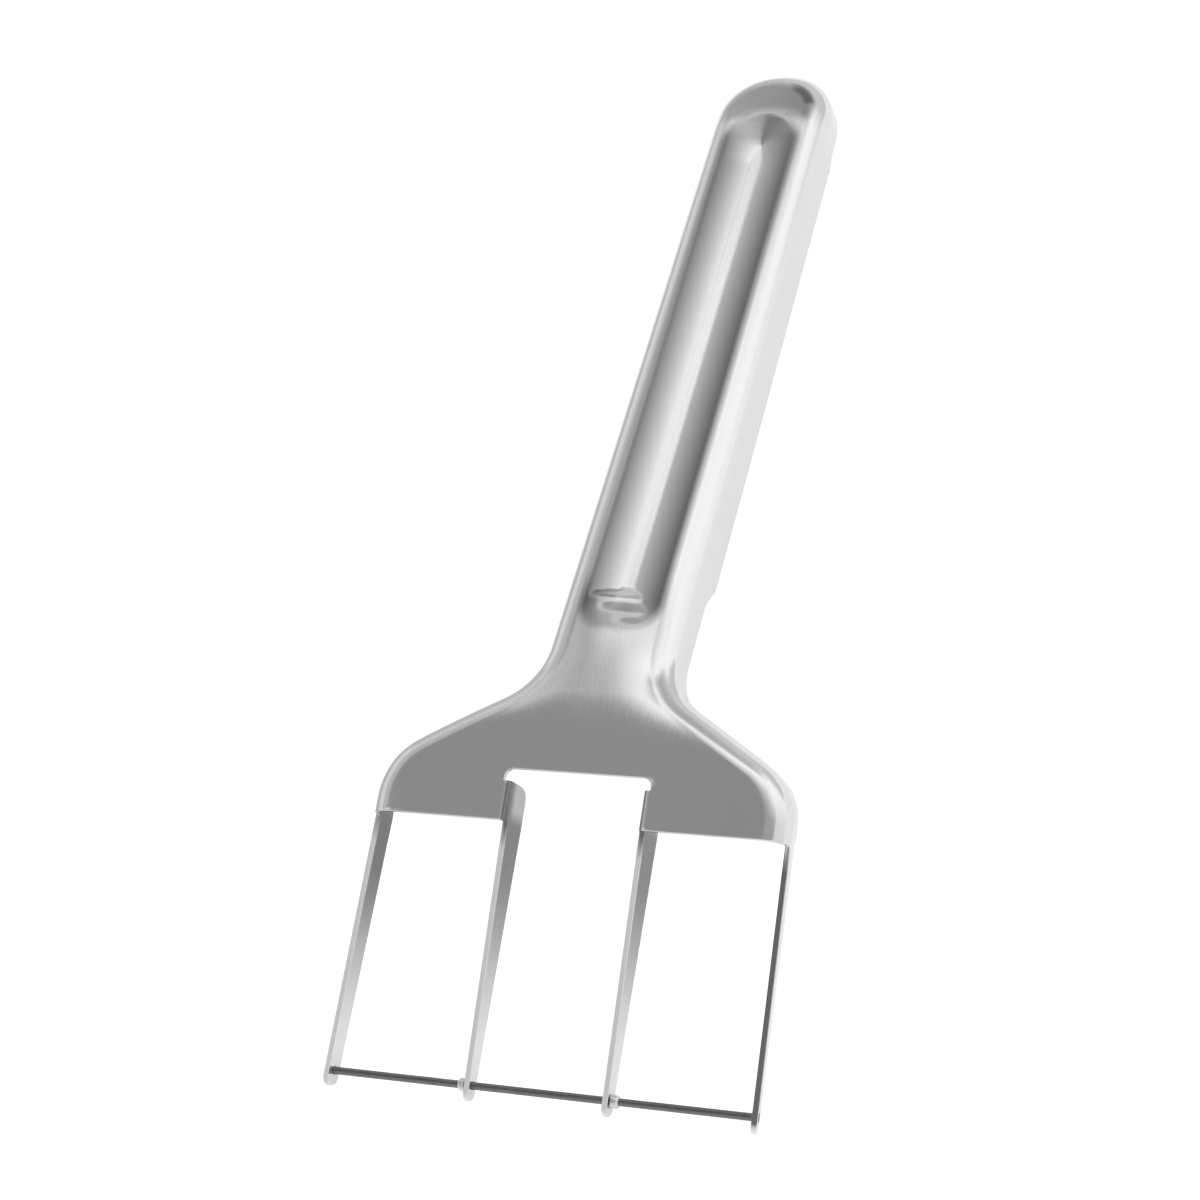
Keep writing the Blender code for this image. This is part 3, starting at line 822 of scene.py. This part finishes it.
def barTree(name, sizes, thickness):
    # a closed round bar from Start to End; thickness gives its scale along the way
    tree, start, given = newTree(name, [
        ("Start", "Vector"), ("End", "Vector"), ("Radius", "Float"), ("Unevenness", "Float"),
        ("Noise Scale", "Float"), ("Seed", "Float"), ("Material", "Material")])
    line = start.node("GeometryNodeCurvePrimitiveLine", None,
                      {"Start": given["Start"], "End": given["End"]})
    line = start.node("GeometryNodeResampleCurve", None, {"Curve": line, "Count": sizes["points"]})
    ring = start.node("GeometryNodeCurvePrimitiveCircle", None,
                      {"Resolution": sizes["ring"], "Radius": given["Radius"]})
    along = start.node("GeometryNodeSplineParameter")
    bar = start.node("GeometryNodeCurveToMesh", None, {
        "Curve": line, "Profile Curve": ring, "Scale": thickness(along), "Fill Caps": True})
    lumps = start.node("ShaderNodeTexNoise", {"noise_dimensions": "4D"},
                       {"W": given["Seed"], "Scale": given["Noise Scale"], "Detail": 2.0})
    push = start.node("ShaderNodeVectorMath", {"operation": "SCALE"}, {
        0: start.node("GeometryNodeInputNormal"), "Scale": (lumps - 0.5) * given["Unevenness"]})
    moved = start.node("GeometryNodeSetPosition", None, {"Geometry": bar, "Offset": push})
    endTree(moved, given["Material"])
    return tree


def makeBar(name, tree, start, end, radius, sizes, seed, material, node):
    bar = newObject(name)
    runTree(bar, tree, {
        "Start": start, "End": end, "Radius": radius, "Unevenness": sizes["uneven"] * mm,
        "Noise Scale": sizes["noiseScale"], "Seed": seed, "Material": material})
    bake(bar, Matrix.Identity(4))
    bar.data.shade_smooth()
    bar.data.set_sharp_from_angle(angle=math.radians(sizes["sharpAngle"]))
    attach(bar, "root")
    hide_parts(node)


def rodThickness(along):
    near = along.least(1.0 - along) * (rodLength / mm / rodSizes["endRound"])
    near = near.least(1.0)
    return (1.0 - (1.0 - near) * (1.0 - near) * rodSizes["endShare"]).root()


def beadThickness(along):
    narrow = beadSizes["narrow"]
    return (1.0 - along * along).most(0.0).root() * (1.0 - narrow) + narrow


low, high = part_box("cutting_rod")
rodLength = high.x - low.x
rodAt = (low + high) / 2
rodEnd = Vector((rodLength / 2, 0, 0))
makeBar("cuttingRod", barTree("rodBar", rodSizes, rodThickness), rodAt - rodEnd, rodAt + rodEnd,
        (high.z - low.z) / 2, rodSizes, 0.0, rodSteel, "cutting_rod")
beadTree = barTree("beadBar", beadSizes, beadThickness)
for side, seed in zip(("right", "left"), beadSizes["seeds"]):
    low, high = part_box("rod_weld_" + side)
    middle = (low + high) / 2
    faceX, outerX = sorted((low.x, high.x), key=abs)
    makeBar("weldBead" + side.capitalize(), beadTree, Vector((faceX, middle.y, middle.z)),
            Vector((outerX, middle.y, middle.z)), (high.z - low.z) / 2, beadSizes, seed, weldSteel,
            "rod_weld_" + side)
print("rod and weld beads made")


# Floor and light

studio = {
    "room": 0.81,           # level of the light between the panels
    # flags and soft boxes: azimuth from +Y towards +X, and elevation, each as from, to and
    # how soft either end is, in degrees; then the level inside
    "panels": (
        ((-190, 190, 1, 1), (51, 95, 1, 1), 0.42),
        ((-32, 22, 34, 18), (42, 61, 1, 29), 1.60),
        ((5, 68, 3, 26), (-95, 66, 1, 20), 1.16),
        ((-23, 11, 10, 9), (-3, 48, 3, 7), 0.44),
        ((1, 19, 32, 13), (-2, 47, 11, 2), 0.65),
        ((-51, 50, 2, 7), (-10, 16, 3, 10), 0.63),
        ((-141, -39, 9, 7), (22, 99, 6, 8), 0.57),
        ((-162, -38, 53, 9), (45, 92, 8, 1), 0.32),
        ((-116, -94, 26, 3), (34, 58, 4, 2), 0.84),
        ((-4, 41, 4, 5), (7, 26, 9, 9), 0.69),
        ((-22, 12, 6, 6), (-12, 19, 4, 4), 0.72),
    ),
    "floorSize": 6.0,       # m
    "floorGap": 0.05,       # mm below the tool
    # the floor glows for the camera; in the metal its glow sets in between these two x, in mm
    "floorColour": 0.85, "floorGlow": 0.75,
    "glowInMetal": 0.42, "glowFrom": -62.0, "glowTo": -42.0,
}

world = bpy.data.worlds.new("studio")
bpy.context.scene.world = world
world.use_nodes = True
background = world.node_tree.nodes["Background"]
air = Wire(world.node_tree)
towards = air.node("ShaderNodeSeparateXYZ", None, {0: air.node("ShaderNodeTexCoord")})
azimuth = towards.math("ARCTAN2", towards, towards.other(1)) * math.degrees(1)
elevation = towards.math("ARCSINE", towards.other(2)) * math.degrees(1)
light = studio["room"]
for azimuthRange, elevationRange, level in studio["panels"]:
    mask = 1.0
    for angle, limits in ((azimuth, azimuthRange), (elevation, elevationRange)):
        start, end, softStart, softEnd = limits
        mask = angle.ramp(start - softStart, start + softStart) * mask
        mask = mask * angle.ramp(end - softEnd, end + softEnd, 1.0, 0.0)
    light = mask * level + (1.0 - mask) * light
seenDirectly = air.node("ShaderNodeLightPath")      # the camera sees white
light = light * (1.0 - seenDirectly) + seenDirectly
world.node_tree.links.new(light.socket, background.inputs["Strength"])
background.inputs["Color"].default_value = (1, 1, 1, 1)

floorMaterial = bpy.data.materials.new("whiteFloor")
floorMaterial.use_nodes = True
floorShader = floorMaterial.node_tree.nodes["Principled BSDF"]
floorShader.inputs["Base Color"].default_value = (*[studio["floorColour"]] * 3, 1)
floorShader.inputs["Roughness"].default_value = 1.0
floorShader.inputs["Specular IOR Level"].default_value = 0.0
fromCamera = Wire(floorMaterial.node_tree).node("ShaderNodeLightPath")
mirrored = fromCamera.other("Is Glossy Ray") + fromCamera.other("Is Transmission Ray")
mirrored = mirrored.least(1.0)
onFloor = Wire(floorMaterial.node_tree).node("ShaderNodeTexCoord").other("Object")
floorX = onFloor.node("ShaderNodeSeparateXYZ", None, {0: onFloor})
right = floorX.ramp(studio["glowFrom"] * mm, studio["glowTo"] * mm)
seen = fromCamera * studio["floorGlow"] + mirrored * right * studio["glowInMetal"]
feed(floorShader, "Emission Color", greyOf(seen.least(studio["floorGlow"])))
floorShader.inputs["Emission Strength"].default_value = 1.0
bpy.ops.mesh.primitive_plane_add(
    size=studio["floorSize"], location=(0, 0, -studio["floorGap"] * mm))
floor = bpy.context.active_object
floor.name = "floor"
floor.data.materials.append(floorMaterial)

bpy.context.scene.view_settings.view_transform = "Standard"
print("studio made")
